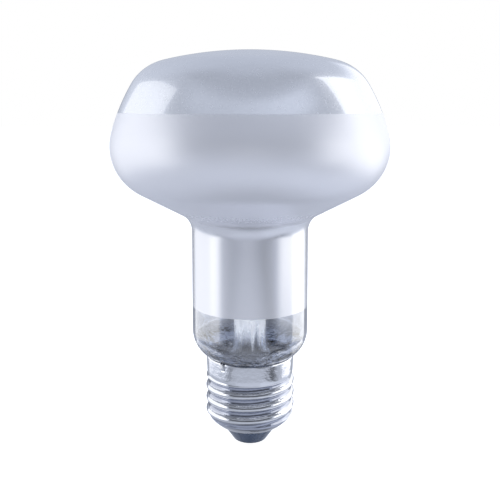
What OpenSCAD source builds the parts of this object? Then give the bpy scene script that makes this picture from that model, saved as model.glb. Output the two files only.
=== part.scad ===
// Reflector lamp: a blown glass bulb with a mirror coat on its inside, a glass stem
// that carries the filament, and a screw cap. The crown points up along Z. The origin
// is the tip of the centre contact.

/* [Bulb] */
// Height of the crown above the tip of the contact
lamp_length = 116.2; // [110:0.1:124]
// Outside diameter at the widest ring
bulb_d = 80; // [76:0.5:84]
// Depth of the widest ring below the crown
equator_drop = 27.2; // [25:0.1:30]
// Radius of the crown
crown_r = 104; // [90:1:125]
// Radius of the turn from the crown to the side
shoulder_r = 14; // [10:0.5:18]
// Radius of the side
side_r = 56; // [48:1:66]
// Angle at which the side runs into the curve of the widest ring
side_lean = 15; // [11:1:19]
// Radius of the curve of the widest ring
equator_r = 15; // [12:0.5:18]
// Slope of the cone under the widest ring
cone_slope = 28; // [24:1:32]
// Thickness of the glass
glass_t = 0.8; // [0.6:0.1:1]

/* [Neck] */
// Outside diameter of the neck
neck_d = 34; // [31:0.5:37]
// Radius between the cone and the neck
neck_fillet_r = 6; // [4:0.5:8]
// Angle through which the foot of the neck turns in
foot_turn = 62; // [56:1:66]
// Radius between the foot and the tail inside the cap
tail_fillet_r = 2; // [1.5:0.1:2.5]
// Length of the glass inside the cap
tail_depth = 5.3; // [4.8:0.1:5.6]
// Space between the glass and the rim of the cap
rim_gap = 0.05; // [0.02:0.01:0.1]

/* [Reflector] */
// Depth of the coat's upper edge below the crown
coat_drop = 18; // [15:0.5:21]
// Height of the clear glass between the cap and the coat
clear_h = 15; // [10:0.5:20]
// Thickness of the coat
coat_t = 0.12; // [0.08:0.01:0.2]

/* [Screw cap] */
// Height of the rim above the tip of the contact
cap_h = 27.3; // [26.5:0.1:28.5]
// Diameter over the crests of the thread
crest_d = 26.2; // [26:0.05:26.45]
// Depth of the thread
thread_depth = 1; // [0.8:0.05:1.2]
// Distance between the crests
thread_pitch = 3.629; // [3.4:0.001:3.8]
// Height of one crest at the right side
thread_z = 12.15; // [11.5:0.05:13]
// Height of the plain collar
collar_h = 5.8; // [5.5:0.1:6.2]
// Outside diameter of the rim
rim_d = 26; // [25.8:0.05:26.2]
// Height of the shoulder's upper edge
shoulder_z = 8.6; // [8:0.1:9.2]
// Diameter of the shell's lower edge
lip_d = 17; // [16:0.5:18]
// Height of the shell's lower edge
lip_z = 5.6; // [5.2:0.1:6]
// Thickness of the sheet
shell_t = 0.3; // [0.2:0.02:0.34]
// Width of the notch for the side lead
notch_w = 1.6; // [1.4:0.1:2]
// Depth of that notch
notch_depth = 2; // [1.8:0.1:2.2]
// Bearing of that notch, counted from the right side
notch_a = 233; // [220:1:250]

/* [Insulator and contact] */
// Diameter of the insulator's flat end
insulator_d = 10; // [9:0.5:11]
// Height of that end
insulator_z = 1; // [0.8:0.05:1.3]
// Diameter of the contact plate
contact_d = 8; // [7:0.5:8.5]
// Thickness of the contact plate
contact_t = 0.4; // [0.3:0.05:0.5]
// Diameter of the eyelet's bore
eyelet_d = 1.2; // [1:0.1:1.4]
// Height of the eyelet above the plate
eyelet_h = 1.5; // [1:0.1:2]
// Diameter of the solder on the plate
solder_d = 6; // [5:0.5:6.5]
// Diameter of the solder's flat tip
solder_tip_d = 2.8; // [2:0.2:3.4]

/* [Stem] */
// Outside diameter of the stem's tube
stem_d = 9.6; // [9:0.2:10.4]
// Thickness of its wall
stem_t = 1; // [0.8:0.1:1.2]
// Height of the stem above its own foot
stem_h = 36; // [33:0.5:39]
// Radius of the flare
flare_r = 9; // [8:0.5:10]
// Height of the flare's straight edge
flare_edge_h = 1.6; // [1.2:0.1:2]
// Width of the flat press
press_w = 12.8; // [11.5:0.2:14]
// Thickness of the flat press
press_t = 4.2; // [3.6:0.1:5]
// Height of the flat press
press_h = 7; // [6:0.5:8]
// Outside diameter of the exhaust tube
exhaust_d = 4; // [3.6:0.1:4.4]
// Bore of the exhaust tube
exhaust_bore = 2.4; // [2:0.1:2.6]
// Length of the exhaust tube below the stem's foot
exhaust_drop = 5; // [4:0.5:6]

/* [Filament and wires] */
// Height of the filament above the press
filament_h = 21; // [18:0.5:24]
// Radius of the ring that the filament is bent to
ring_r = 9; // [8:0.5:10]
// Angle of the ring's opening
ring_gap = 80; // [70:1:90]
// Radius of the filament's coil
coil_r = 0.5; // [0.4:0.02:0.6]
// Number of turns in the coil
coil_turns = 54; // [40:1:60]
// Diameter of the filament's wire
coil_wire_d = 0.2; // [0.14:0.01:0.24]
// Length of the filament's straight ends
leg_l = 2.2; // [2:0.1:2.6]
// Diameter of the support wires
support_d = 0.36; // [0.3:0.02:0.44]
// Diameter of the lead wires
lead_d = 0.5; // [0.4:0.02:0.6]
// Distance between the two leads
lead_gap = 6.2; // [5.8:0.1:6.6]
// Diameter of the arbor rod
arbor_d = 2.6; // [2.2:0.1:3.2]
// Diameter of the rod's button
button_d = 5.2; // [4.6:0.2:6]
// Height of the rod's button
button_h = 3; // [2.6:0.1:3.6]

/* [Hidden] */

$fn = 96;
arc_steps = 12;
wire_sides = 6;
// Overrun of every cut
cut = 0.2;

// Screw cap: radii of the thread and heights of the shell's parts
crest_r = crest_d / 2;
root_r = crest_r - thread_depth;
mean_r = crest_r - thread_depth / 2;
collar_z = cap_h - collar_h;
collar_foot_h = 0.8;
collar_foot_r = crest_r - thread_depth / 3;
rim_r = rim_d / 2;
shoulder_bulge = 0.25;
thread_fade = 0.9;
thread_rows = 32;
shoulder_steps = 4;
shell_columns = 56;
// What lies in the faceted shell keeps clear of the middle of its flats
seat = 0.02;
notch_half_a = asin(notch_w / 2 / rim_r);
notch_floor_share = 0.5;
notch_floor_z = cap_h - notch_depth;

// Neck: the tail leaves just room for a lead inside the thread
lead_clear = 0.025;
tail_space = lead_d + 2 * lead_clear;
tail_r = root_r - shell_t - tail_space;
neck_r = neck_d / 2;
foot_r = (neck_r - tail_r) / (1 - cos(foot_turn)) - tail_fillet_r;
foot_cx = neck_r - foot_r;
rim_a = acos((rim_r - shell_t - rim_gap - foot_cx) / foot_r);
foot_c = [foot_cx, cap_h + foot_r * sin(rim_a)];
tail_c = foot_c + (foot_r + tail_fillet_r) * [cos(foot_turn), -sin(foot_turn)];
glass_z = cap_h - tail_depth;

// Bulb: centres and angles at which each arc touches the next
crown_c = [0, lamp_length - crown_r];
equator_c = [bulb_d / 2 - equator_r, lamp_length - equator_drop];
side_c = equator_c - (side_r - equator_r) * [cos(side_lean), sin(side_lean)];
shoulder_c = inner_touch(crown_c, crown_r, side_c, side_r, shoulder_r);
crown_a = bearing(shoulder_c - crown_c);
shoulder_a = bearing(shoulder_c - side_c);
cone_end = equator_c + equator_r * [sin(cone_slope), -cos(cone_slope)];
fillet_cx = neck_r + neck_fillet_r;
fillet_c = [fillet_cx,
    cone_end.y - (cone_end.x - fillet_cx) * tan(cone_slope) - neck_fillet_r / cos(cone_slope)];
coat_a = asin((lamp_length - coat_drop - side_c.y) / (side_r - glass_t));

// Stem: heights counted from the foot of the glass
stem_r = stem_d / 2;
stem_bore_r = stem_r - stem_t;
flare_edge_r = tail_r - glass_t;
flare_c = [stem_r + flare_r, glass_z + flare_edge_h
    + sqrt(flare_r * flare_r - pow(stem_r + flare_r - flare_edge_r, 2))];
press_top_z = glass_z + stem_h;
press_z = press_top_z - press_h;
press_taper_h = 4;
press_foot_z = press_z - press_taper_h;
press_corner_r = 1.2;
stem_floor_z = press_foot_z + press_taper_h / 2;
exhaust_seat_h = 1;
exhaust_top_z = stem_floor_z + exhaust_seat_h;
exhaust_tip_z = glass_z - exhaust_drop;
port_d = 1.4;
weld_h = 0.5;
lead_x = lead_gap / 2;

// Filament: ring, ends and the clamps on them
filament_z = press_top_z + filament_h;
ring_a = ring_gap / 2 - 90;
coil_steps = 8;
coil_sides = 4;
clamp_d = 0.9;
clamp_l = 1.2;
clamp_clear = 0.03;
clamp_p = (ring_r + coil_r) * [cos(ring_a), sin(ring_a)]
    + (leg_l - clamp_l / 2) * [sin(ring_a), -cos(ring_a)];
button_drop = 7;
button_z = filament_z - button_drop - button_h;
button_foot_turn = 60;
arbor_knee_h = 2.5;
support_count = 3;
support_sink = 1.6;
support_reach = 1.2;
support_clear = 0.05;
support_loop = 290;
support_steps = 14;

// Cap: cement, bead of solder and route of the leads
cement_foot = 0.4;
cement_drop = 0.9;
bead_r = 0.9;
bead_drop = 0.95;
lead_turn_drop = 1.2;
lead_rise = 4.1;
lead_exit_h = 1.3;
lead_short = 0.05;
centre_bend_drop = 7;
centre_bend_h = 6;
lead_end_z = 0.3;
funnel_d = 15;
funnel_drop = 0.8;
funnel_bore_drop = 2.4;

// Points of an arc about c from angle a0 to a1, with or without the first one
function arc_points(c, r, a0, a1, first = 1) =
    [for (i = [first:arc_steps])
        let (a = a0 + (a1 - a0) * i / arc_steps) c + r * [cos(a), sin(a)]];

// Points of a shallow arc from p to q that bulges to the left of its way
function bulged(p, q, bulge, steps) =
    [for (i = [0:steps])
        let (s = i / steps, way = q - p, side = [-way.y, way.x] / norm(way))
        p + s * way + 4 * bulge * s * (1 - s) * side];

// Centre of the circle of radius r that touches two larger circles from inside
function inner_touch(c1, r1, c2, r2, r) =
    let (way = c2 - c1, d = norm(way),
        along = (pow(r1 - r, 2) - pow(r2 - r, 2) + d * d) / (2 * d),
        across = sqrt(pow(r1 - r, 2) - along * along))
    c1 + (along * way + across * [way.y, -way.x]) / d;

function bearing(v) = atan2(v.y, v.x);

function reversed(list) = [for (i = [len(list) - 1:-1:0]) list[i]];

function unit(v) = v / norm(v);

// Half outline of the bulb, moved into the glass by inset
function bulb_path(inset) = concat(
    [[0, lamp_length - inset]],
    arc_points(crown_c, crown_r - inset, 90, crown_a),
    arc_points(shoulder_c, shoulder_r - inset, crown_a, shoulder_a),
    arc_points(side_c, side_r - inset, shoulder_a, coat_a),
    arc_points(side_c, side_r - inset, coat_a, side_lean),
    arc_points(equator_c, equator_r - inset, side_lean, cone_slope - 90),
    arc_points(fillet_c, neck_fillet_r + inset, 90 + cone_slope, 180, 0),
    arc_points(foot_c, foot_r - inset, 0, -foot_turn, 0),
    arc_points(tail_c, tail_fillet_r + inset, 180 - foot_turn, 180),
    [[tail_r - inset, glass_z]]);

// The stretch of that outline that carries the coat
function coat_path(inset) = concat(
    arc_points(side_c, side_r - inset, coat_a, side_lean, 0),
    arc_points(equator_c, equator_r - inset, side_lean, cone_slope - 90),
    arc_points(fillet_c, neck_fillet_r + inset, 90 + cone_slope, 180, 0),
    [[neck_r - inset, cap_h + clear_h]]);

// Distance from a start along a direction at which a line reaches a radius
function reach_of(start, way, r) =
    let (along = start * way) sqrt(along * along - start * start + r * r) - along;

// Outside radius of the collar at a height
function collar_r(z) = collar_foot_r + (rim_r - collar_foot_r)
    * (z - collar_z - collar_foot_h) / (collar_h - collar_foot_h);

// Height of the thread's wave, from -1 at a root to 1 at a crest, made of equal arcs
function wave(turns) =
    let (quarter = thread_pitch / 4, half = thread_depth / 2,
        r = (quarter * quarter + half * half) / (2 * half),
        t = turns - floor(turns + 0.5),
        top = abs(t) <= 1 / 4,
        u = (top ? abs(t) : 1 / 2 - abs(t)) * thread_pitch,
        h = half - r + sqrt(r * r - u * u))
    (top ? h : -h) / half;

// Share of the full depth that the thread has at a height, by the distance to both ends
function fade(z) =
    let (s = min(1, (z - shoulder_z) / thread_fade, (collar_z - z) / thread_fade))
    s * s * (3 - 2 * s);

// Radius of the threaded wall: root at the shoulder, mean at the collar
function thread_r(a, z) =
    let (f = fade(z), turns = (z - thread_z) / thread_pitch - a / 360,
        rest = z < (shoulder_z + collar_z) / 2 ? root_r : mean_r)
    rest + f * (mean_r - rest + thread_depth / 2 * wave(turns));

// Faces of a closed ring of sections, each a closed loop of points
function ring_faces(sections, loop) =
    [for (i = [0:sections - 1], k = [0:loop - 1])
        let (a = i * loop, b = (i + 1) % sections * loop, n = (k + 1) % loop)
        each [[a + k, b + k, b + n], [a + k, b + n, a + n]]];

// Faces of a tube of sections with flat ends
function tube_faces(sections, sides) = concat(
    [[for (k = [0:sides - 1]) k]],
    [for (i = [0:sections - 2], k = [0:sides - 1])
        let (a = i * sides, b = a + sides, n = (k + 1) % sides)
        each [[a + k, b + k, b + n], [a + k, b + n, a + n]]],
    [[for (k = [sides - 1:-1:0]) (sections - 1) * sides + k]]);

// Sideways direction at a corner of a path, longer where the path turns
function mitre(path, i) =
    let (last = len(path) - 1,
        before = unit(path[max(i, 1)] - path[max(i, 1) - 1]),
        after = unit(path[min(i, last - 1) + 1] - path[min(i, last - 1)]),
        way = unit(before + after))
    [way.y, -way.x] / (way * before);

// Wire along a path in the XZ plane
module wire(path, d) {
    points = [for (i = [0:len(path) - 1], k = [0:wire_sides - 1])
        let (a = 360 * (k + 0.5) / wire_sides, m = mitre(path, i) * cos(a) * d / 2)
        [path[i].x + m.x, sin(a) * d / 2, path[i].y + m.y]];
    polyhedron(points, tube_faces(len(path), wire_sides));
}

// Places a wire's plane on a line from one point of the floor plan towards another
module plane_from(start, end) {
    translate([start.x, start.y, 0])
        rotate([0, 0, bearing(end - start)])
            children();
}

module envelope() {
    color("lavender", 0.5)
        rotate_extrude()
            polygon(concat(bulb_path(0), reversed(bulb_path(glass_t))));
}

module reflector_coating() {
    color("silver")
        rotate_extrude()
            polygon(concat(coat_path(glass_t), reversed(coat_path(glass_t + coat_t))));
}

// The bulb's outside, filled
module glass_body() {
    rotate_extrude()
        polygon(concat(bulb_path(0), [[0, glass_z]]));
}

// Tube and flare of the stem as one turned glass
module stem_tube() {
    edge_bore_r = flare_edge_r - stem_t;
    out_a = acos((flare_c.x - flare_edge_r) / flare_r);
    in_a = acos((flare_c.x - edge_bore_r) / (flare_r + stem_t));
    rotate_extrude()
        polygon(concat(
            [[stem_bore_r, press_foot_z], [stem_r, press_foot_z]],
            arc_points(flare_c, flare_r, 180, 180 + out_a, 0),
            [[flare_edge_r, glass_z], [edge_bore_r, glass_z]],
            arc_points(flare_c, flare_r + stem_t, 180 + in_a, 180, 0)));
}

// The tube's end, squeezed flat while it was soft
module press() {
    hull() {
        translate([0, 0, press_foot_z])
            cylinder(r = stem_r, h = press_taper_h / 8, $fn = 32);
        translate([0, 0, press_z])
            linear_extrude(press_h)
                for (x = [-1, 1], y = [-1, 1])
                    translate([x * (press_w / 2 - press_corner_r), y * (press_t / 2 - press_corner_r)])
                        circle(r = press_corner_r, $fn = 32);
    }
}

module stem_flare() {
    color("lightsteelblue", 0.6)
        difference() {
            union() {
                stem_tube();
                press();
            }
            translate([0, 0, press_foot_z - cut])
                cylinder(r = stem_bore_r, h = stem_floor_z - press_foot_z + cut);
            translate([0, 0, stem_floor_z - cut])
                cylinder(d = exhaust_d, h = exhaust_seat_h + cut);
            translate([0, 0, exhaust_top_z - cut])
                cylinder(d = exhaust_bore, h = port_d + cut);
            translate([0, 0, exhaust_top_z + port_d / 2])
                rotate([90, 0, 0])
                    cylinder(d = port_d, h = stem_r + cut);
            for (x = [-lead_x, lead_x])
                translate([x, 0, stem_floor_z - cut])
                    cylinder(d = lead_d, h = press_top_z - stem_floor_z + 2 * cut);
        }
}

// Open at its top, melted to a point at its foot
module exhaust_tube() {
    tip_bore_r = exhaust_bore / 2;
    wall = exhaust_d / 2 - tip_bore_r;
    tip_cz = exhaust_tip_z + exhaust_d / 2;
    color("lightsteelblue", 0.6)
        rotate_extrude()
            polygon(concat(
                [[tip_bore_r, exhaust_top_z], [exhaust_d / 2, exhaust_top_z]],
                arc_points([0, tip_cz], exhaust_d / 2, 0, -90, 0),
                [[0, exhaust_tip_z + wall]],
                arc_points([0, tip_cz], tip_bore_r, -90, 0)));
}

// Support wires are set in the button at these bearings
function support_a(i) = ring_a + (360 - ring_gap) * i / (support_count + 1);

function support_path() =
    let (foot = [button_d / 2 - support_sink, button_z + button_h / 2],
        knee = foot + [support_sink + support_reach, 0],
        eye = [ring_r, filament_z],
        r = coil_r + coil_wire_d / 2 + support_clear + support_d / 2,
        a = bearing(eye - knee) - asin(r / norm(eye - knee)) - 90)
    concat([foot, knee], [for (i = [0:support_steps])
        let (s = a + support_loop * i / support_steps) eye + r * [cos(s), sin(s)]]);

module support_wire(i) {
    rotate([0, 0, support_a(i)])
        wire(support_path(), support_d);
}

module support_wire_1() { color("dimgray") support_wire(1); }

module support_wire_2() { color("dimgray") support_wire(2); }

module support_wire_3() { color("dimgray") support_wire(3); }

// Glass rod that stands on the press, with a button swelled on its end
module arbor_rod() {
    swell = button_h / 2;
    swell_c = [button_d / 2 - swell, button_z + swell];
    color("lightsteelblue", 0.6)
        difference() {
            rotate_extrude()
                polygon(concat(
                    [[0, press_top_z], [arbor_d / 2, press_top_z]],
                    [[arbor_d / 2, button_z - arbor_knee_h / 2]],
                    arc_points(swell_c, swell, -button_foot_turn, 90, 0),
                    [[0, button_z + button_h]]));
            for (i = [1:support_count])
                support_wire(i);
        }
}

// One coiled wire round an open ring, with a straight leg at each end
module filament() {
    steps = coil_turns * coil_steps;
    sweep = 360 - ring_gap;
    centres = concat(
        [leg_point(ring_a, -leg_l)],
        [for (i = [0:steps]) coil_point(ring_a + sweep * i / steps, 360 * i / coil_steps)],
        [leg_point(ring_a + sweep, leg_l)]);
    outward = concat(
        [coil_way(ring_a, 0)],
        [for (i = [0:steps]) coil_way(ring_a + sweep * i / steps, 360 * i / coil_steps)],
        [coil_way(ring_a + sweep, 0)]);
    last = len(centres) - 1;
    points = [for (i = [0:last], k = [0:coil_sides - 1])
        let (way = centres[min(i + 1, last)] - centres[max(i - 1, 0)],
            across = unit(cross(way, outward[i])), a = 360 * k / coil_sides)
        centres[i] + coil_wire_d / 2 * (cos(a) * outward[i] + sin(a) * across)];
    color("gray")
        polyhedron(points, tube_faces(len(centres), coil_sides));
}

// Direction from the coil's own axis at a bearing of the ring and a turn of the coil
function coil_way(a, turn) = [cos(a) * cos(turn), sin(a) * cos(turn), sin(turn)];

function coil_point(a, turn) =
    [ring_r * cos(a), ring_r * sin(a), filament_z] + coil_r * coil_way(a, turn);

function leg_point(a, l) = coil_point(a, 0) + l * [-sin(a), cos(a), 0];

// Lead from the weld above the press to a clamp pressed on the filament's leg
module inner_lead() {
    start = [lead_x, 0];
    reach = norm(clamp_p - start);
    difference() {
        union() {
            plane_from(start, clamp_p)
                wire([[0, press_top_z + weld_h], [0, press_top_z + arbor_knee_h],
                    [reach, filament_z]], lead_d);
            clamp(clamp_d, clamp_l);
        }
        clamp(coil_wire_d + 2 * clamp_clear, clamp_l + 2 * cut);
    }
}

// Round body on the axis of the filament's leg
module clamp(d, l) {
    translate([clamp_p.x, clamp_p.y, filament_z])
        rotate([0, 0, ring_a])
            rotate([90, 0, 0])
                cylinder(d = d, h = l, center = true, $fn = 12);
}

module inner_lead_left() { color("darkgray") mirror([1, 0, 0]) inner_lead(); }

module inner_lead_right() { color("darkgray") inner_lead(); }

module seal_wire(x) {
    translate([x, 0, stem_floor_z - weld_h])
        cylinder(d = lead_d, h = press_top_z - stem_floor_z + 2 * weld_h);
}

module seal_wire_left() { color("indianred") seal_wire(-lead_x); }

module seal_wire_right() { color("indianred") seal_wire(lead_x); }

// Down through the stem, under the glass, up beside its tail and out at the notch
module side_lead() {
    start = [-lead_x, 0];
    end = rim_r * [cos(notch_a), sin(notch_a)];
    beside = reach_of(start, unit(end - start), tail_r + tail_space / 2);
    turn_z = glass_z - lead_turn_drop;
    color("peru")
        plane_from(start, end)
            wire([[0, stem_floor_z - weld_h], [0, turn_z], [beside, turn_z],
                [beside, turn_z + lead_rise],
                [norm(end - start) - lead_short, turn_z + lead_rise + lead_exit_h]], lead_d);
}

module centre_lead() {
    bend_z = glass_z - centre_bend_drop;
    color("peru")
        wire([[lead_x, stem_floor_z - weld_h], [lead_x, bend_z], [0, bend_z - centre_bend_h],
            [0, lead_end_z]], lead_d);
}

// Bearings of the shell's sections: even steps, and two more at the notch's floor
shell_bearings = concat(
    [for (i = [0:shell_columns])
        notch_a + notch_half_a + (360 - 2 * notch_half_a) * i / shell_columns],
    [for (side = [-1, 1]) notch_a + 360 + side * notch_half_a * notch_floor_share]);

// Height of the shell's edge at a section
function shell_top(i) = i > shell_columns ? notch_floor_z : cap_h;

function shoulder_path(inset) = bulged([lip_d / 2 - inset / 2, lip_z + inset],
    [root_r - inset, shoulder_z], -shoulder_bulge, shoulder_steps);

// One face of the sheet at a bearing, from the lip to the edge
function shell_path(a, top_z, inset) = concat(
    shoulder_path(inset),
    [for (k = [1:thread_rows])
        let (z = shoulder_z + (collar_z - shoulder_z) * k / thread_rows)
        [thread_r(a, z) - inset, z]],
    collar_path(top_z, inset));

function collar_path(top_z, inset) =
    [[collar_foot_r - inset, collar_z + collar_foot_h], [collar_r(top_z) - inset, top_z]];

// Points of a half outline turned to a bearing
function turned(path, a) = [for (p = path) [p.x * cos(a), p.x * sin(a), p.y]];

// One folded sheet: lip, shoulder, rolled thread and plain collar with a notch
module screw_shell() {
    points = [for (i = [0:len(shell_bearings) - 1])
        let (a = shell_bearings[i])
        each turned(concat(shell_path(a, shell_top(i), shell_t),
            reversed(shell_path(a, shell_top(i), 0))), a)];
    loop = len(points) / len(shell_bearings);
    color("gainsboro")
        polyhedron(points, ring_faces(len(shell_bearings), loop));
}

// The collar's wall on both sides of the notch
module notch_wall() {
    last = len(shell_bearings) - 1;
    near = [last - 3, last - 2, last - 1, last, 0, 1];
    points = [for (i = near)
        each turned(concat(collar_path(shell_top(i), shell_t),
            reversed(collar_path(shell_top(i), 0))), shell_bearings[i])];
    polyhedron(points, tube_faces(len(near), 4));
}

// Cement between the glass and the collar
module capping_cement() {
    foot_z = glass_z + cement_foot;
    top_z = cap_h - cement_drop;
    color("tan")
        difference() {
            rotate_extrude()
                polygon([[tail_r - cut, foot_z], [collar_r(foot_z) - shell_t - seat, foot_z],
                    [collar_r(top_z) - shell_t - seat, top_z], [tail_r - cut, top_z]]);
            glass_body();
            side_lead();
        }
}

// Glass that fills the shoulder and ends in a blunt cone
module cap_insulator() {
    eyelet_r = eyelet_d / 2 + contact_t;
    color("darkslategray")
        rotate_extrude()
            polygon(concat(
                [[eyelet_r, insulator_z], [insulator_d / 2, insulator_z]],
                shoulder_path(shell_t + seat),
                [[funnel_d / 2, shoulder_z - funnel_drop],
                    [eyelet_r, shoulder_z - funnel_bore_drop]]));
}

// Plate under the insulator, drawn up into an eyelet
module contact_plate() {
    bore_r = eyelet_d / 2;
    plate_z = insulator_z - contact_t;
    color("goldenrod")
        rotate_extrude()
            polygon([[bore_r, plate_z], [contact_d / 2, plate_z], [contact_d / 2, insulator_z],
                [bore_r + contact_t, insulator_z], [bore_r + contact_t, insulator_z + eyelet_h],
                [bore_r, insulator_z + eyelet_h]]);
}

module centre_solder() {
    plate_z = insulator_z - contact_t;
    bulge = plate_z / 4;
    color("silver")
        difference() {
            rotate_extrude()
                polygon(concat([[0, plate_z], [0, 0]],
                    bulged([solder_tip_d / 2, 0], [solder_d / 2, plate_z], -bulge, arc_steps)));
            translate([0, 0, lead_end_z])
                rotate([0, 0, 180 / wire_sides])
                    cylinder(d = lead_d, h = plate_z, $fn = wire_sides);
        }
}

// Bead that fills the notch and holds the side lead to the shell
module side_solder() {
    inside = shell_t - seat;
    color("silver")
        difference() {
            rotate([0, 0, notch_a])
                translate([rim_r, 0, cap_h - bead_drop])
                    sphere(r = bead_r, $fn = 32);
            notch_wall();
            rotate_extrude()
                polygon([[0, collar_z], [collar_foot_r - inside, collar_z + collar_foot_h],
                    [rim_r - inside, cap_h], [rim_r - inside, cap_h + cut], [0, cap_h + cut]]);
            side_lead();
        }
}

envelope();
reflector_coating();
stem_flare();
exhaust_tube();
arbor_rod();
support_wire_1();
support_wire_2();
support_wire_3();
filament();
inner_lead_left();
inner_lead_right();
seal_wire_left();
seal_wire_right();
side_lead();
centre_lead();
screw_shell();
capping_cement();
cap_insulator();
contact_plate();
centre_solder();
side_solder();
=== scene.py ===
"""Reflector bulb: smooth glass, silvered coat, stem, rolled screw cap and a soft studio."""
import bpy
import math
from math import sqrt, atan2
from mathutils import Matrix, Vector, noise


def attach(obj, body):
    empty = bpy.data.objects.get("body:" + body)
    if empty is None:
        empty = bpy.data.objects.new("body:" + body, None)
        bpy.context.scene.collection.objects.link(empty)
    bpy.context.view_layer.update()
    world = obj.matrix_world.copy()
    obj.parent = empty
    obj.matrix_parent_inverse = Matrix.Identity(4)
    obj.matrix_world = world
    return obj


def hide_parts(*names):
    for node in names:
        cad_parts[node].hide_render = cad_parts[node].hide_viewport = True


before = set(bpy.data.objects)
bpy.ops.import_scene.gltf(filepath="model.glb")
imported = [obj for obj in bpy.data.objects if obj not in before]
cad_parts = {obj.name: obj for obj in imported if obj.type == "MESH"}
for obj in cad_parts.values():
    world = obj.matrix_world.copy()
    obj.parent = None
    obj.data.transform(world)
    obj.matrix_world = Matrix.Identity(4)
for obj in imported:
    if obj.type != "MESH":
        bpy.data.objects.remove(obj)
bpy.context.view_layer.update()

MM = 0.001


# ---------------------------------------------------------------- angles, all in degrees

def sin(a):
    return math.sin(math.radians(a))


def cos(a):
    return math.cos(math.radians(a))


def arcsin(v):
    return math.degrees(math.asin(v))


def arccos(v):
    return math.degrees(math.acos(v))


def bearing(p, q):
    return math.degrees(atan2(q[1] - p[1], q[0] - p[0]))


# ---------------------------------------------------------------- sizes, in mm

LAMP_LENGTH = 116.2
BULB_D = 80
EQUATOR_DROP = 27.2         # crown to widest ring
CROWN_R = 104
SHOULDER_R = 14
SIDE_R = 56
SIDE_LEAN = 15              # where the side's arc meets the widest ring's
EQUATOR_R = 15
CONE = 28                   # slope of the cone
NECK_R = 17
NECK_FILLET_R = 6
FOOT_TURN = 62              # how far the foot of the neck turns in
TAIL_FILLET_R = 2
TAIL_DEPTH = 5.3            # glass inside the cap
GLASS_T = 0.8
COAT_DROP = 18              # crown to the coat's upper edge
CLEAR_H = 15                # clear glass between the cap and the coat
COAT_T = 0.12
COAT_GAP = 0.01             # between the faces of coat and glass

CAP_H = 27.3
RIM_R = 13
RIM_GAP = 0.05              # between the rim and the glass
RIM_ROUND = 0.06
CREST_R = 13.1
THREAD_DEPTH = 1
PITCH = 3.629
THREAD_Z = 12.15            # height of a crest on the right
THREAD_FADE = 0.9
COLLAR_H = 5.8
COLLAR_FOOT_H = 0.8
COLLAR_DENT = 0.02          # how far the collar is out of round
SHOULDER_Z = 8.6
SHOULDER_BULGE = 0.25
LIP_R = 8.5
LIP_Z = 5.6
SHELL_T = 0.3
NOTCH_W = 1.6
NOTCH_DEPTH = 2
NOTCH_A = 233
# place across the notch, and height above its floor
NOTCH_FLOOR = ((-0.96, 0.5), (-0.85, 0.15), (-0.5, 0), (0, 0), (0.5, 0), (0.85, 0.15), (0.96, 0.5))
ROOT_R = CREST_R - THREAD_DEPTH
MEAN_R = CREST_R - THREAD_DEPTH / 2
COLLAR_Z = CAP_H - COLLAR_H
COLLAR_FOOT_R = CREST_R - THREAD_DEPTH / 3

LEAD_D = 0.5
LEAD_X = 3.1
TAIL_SPACE = LEAD_D + 0.05  # room for the side lead between glass and thread
TAIL_R = ROOT_R - SHELL_T - TAIL_SPACE
GLASS_Z = CAP_H - TAIL_DEPTH
FOOT_R = (NECK_R - TAIL_R) / (1 - cos(FOOT_TURN)) - TAIL_FILLET_R
FOOT_CX = NECK_R - FOOT_R
RIM_A = arccos((RIM_R - SHELL_T - RIM_GAP - FOOT_CX) / FOOT_R)
FOOT_C = (FOOT_CX, CAP_H + FOOT_R * sin(RIM_A))
TAIL_C = (FOOT_C[0] + (FOOT_R + TAIL_FILLET_R) * cos(FOOT_TURN),
          FOOT_C[1] - (FOOT_R + TAIL_FILLET_R) * sin(FOOT_TURN))

STEM_R = 4.8
STEM_T = 1.0
STEM_BORE_R = STEM_R - STEM_T
STEM_FLOOR = 49             # top of the stem's bore
FLARE_R = 9
FLARE_EDGE_H = 1.6
FLARE_EDGE_R = TAIL_R - GLASS_T
FLARE_C = (STEM_R + FLARE_R, GLASS_Z + FLARE_EDGE_H
           + sqrt(FLARE_R ** 2 - (STEM_R + FLARE_R - FLARE_EDGE_R) ** 2))
PRESS_FOOT, PRESS_Z, PRESS_TOP = 47, 51, 58
PRESS_W, PRESS_T = 12.8, 4.2
# distance under the press's top, and how much smaller it is there
PRESS_END = ((4, 0), (2, 0), (0.6, 0.03), (0.2, 0.2), (0, 0.6))
ROUND, SQUARE = 2, 5        # powers of an ellipse and of one that is nearly square
STEM_SIDES = 96
EXHAUST_R, EXHAUST_BORE_R, EXHAUST_TOP, EXHAUST_TIP = 2, 1.2, 50, 17

PLATE_Z, PLATE_TOP, PLATE_R = 0.6, 1.0, 4.0
EYELET_R, EYELET_BORE_R, EYELET_TOP = 1.0, 0.6, 2.5
INSULATOR_TIP_R = 5.0
DROP_OUT, DROP_IN, DROP_W, DROP_H = 0.45, 0.22, 0.78, 1.0


def inner_touch(c1, r1, c2, r2, r):
    """Centre of the circle of radius r that touches two larger circles from inside."""
    wx, wy = c2[0] - c1[0], c2[1] - c1[1]
    d = math.hypot(wx, wy)
    along = ((r1 - r) ** 2 - (r2 - r) ** 2 + d * d) / (2 * d)
    across = sqrt((r1 - r) ** 2 - along * along)
    return (c1[0] + (along * wx + across * wy) / d, c1[1] + (along * wy - across * wx) / d)


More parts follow.
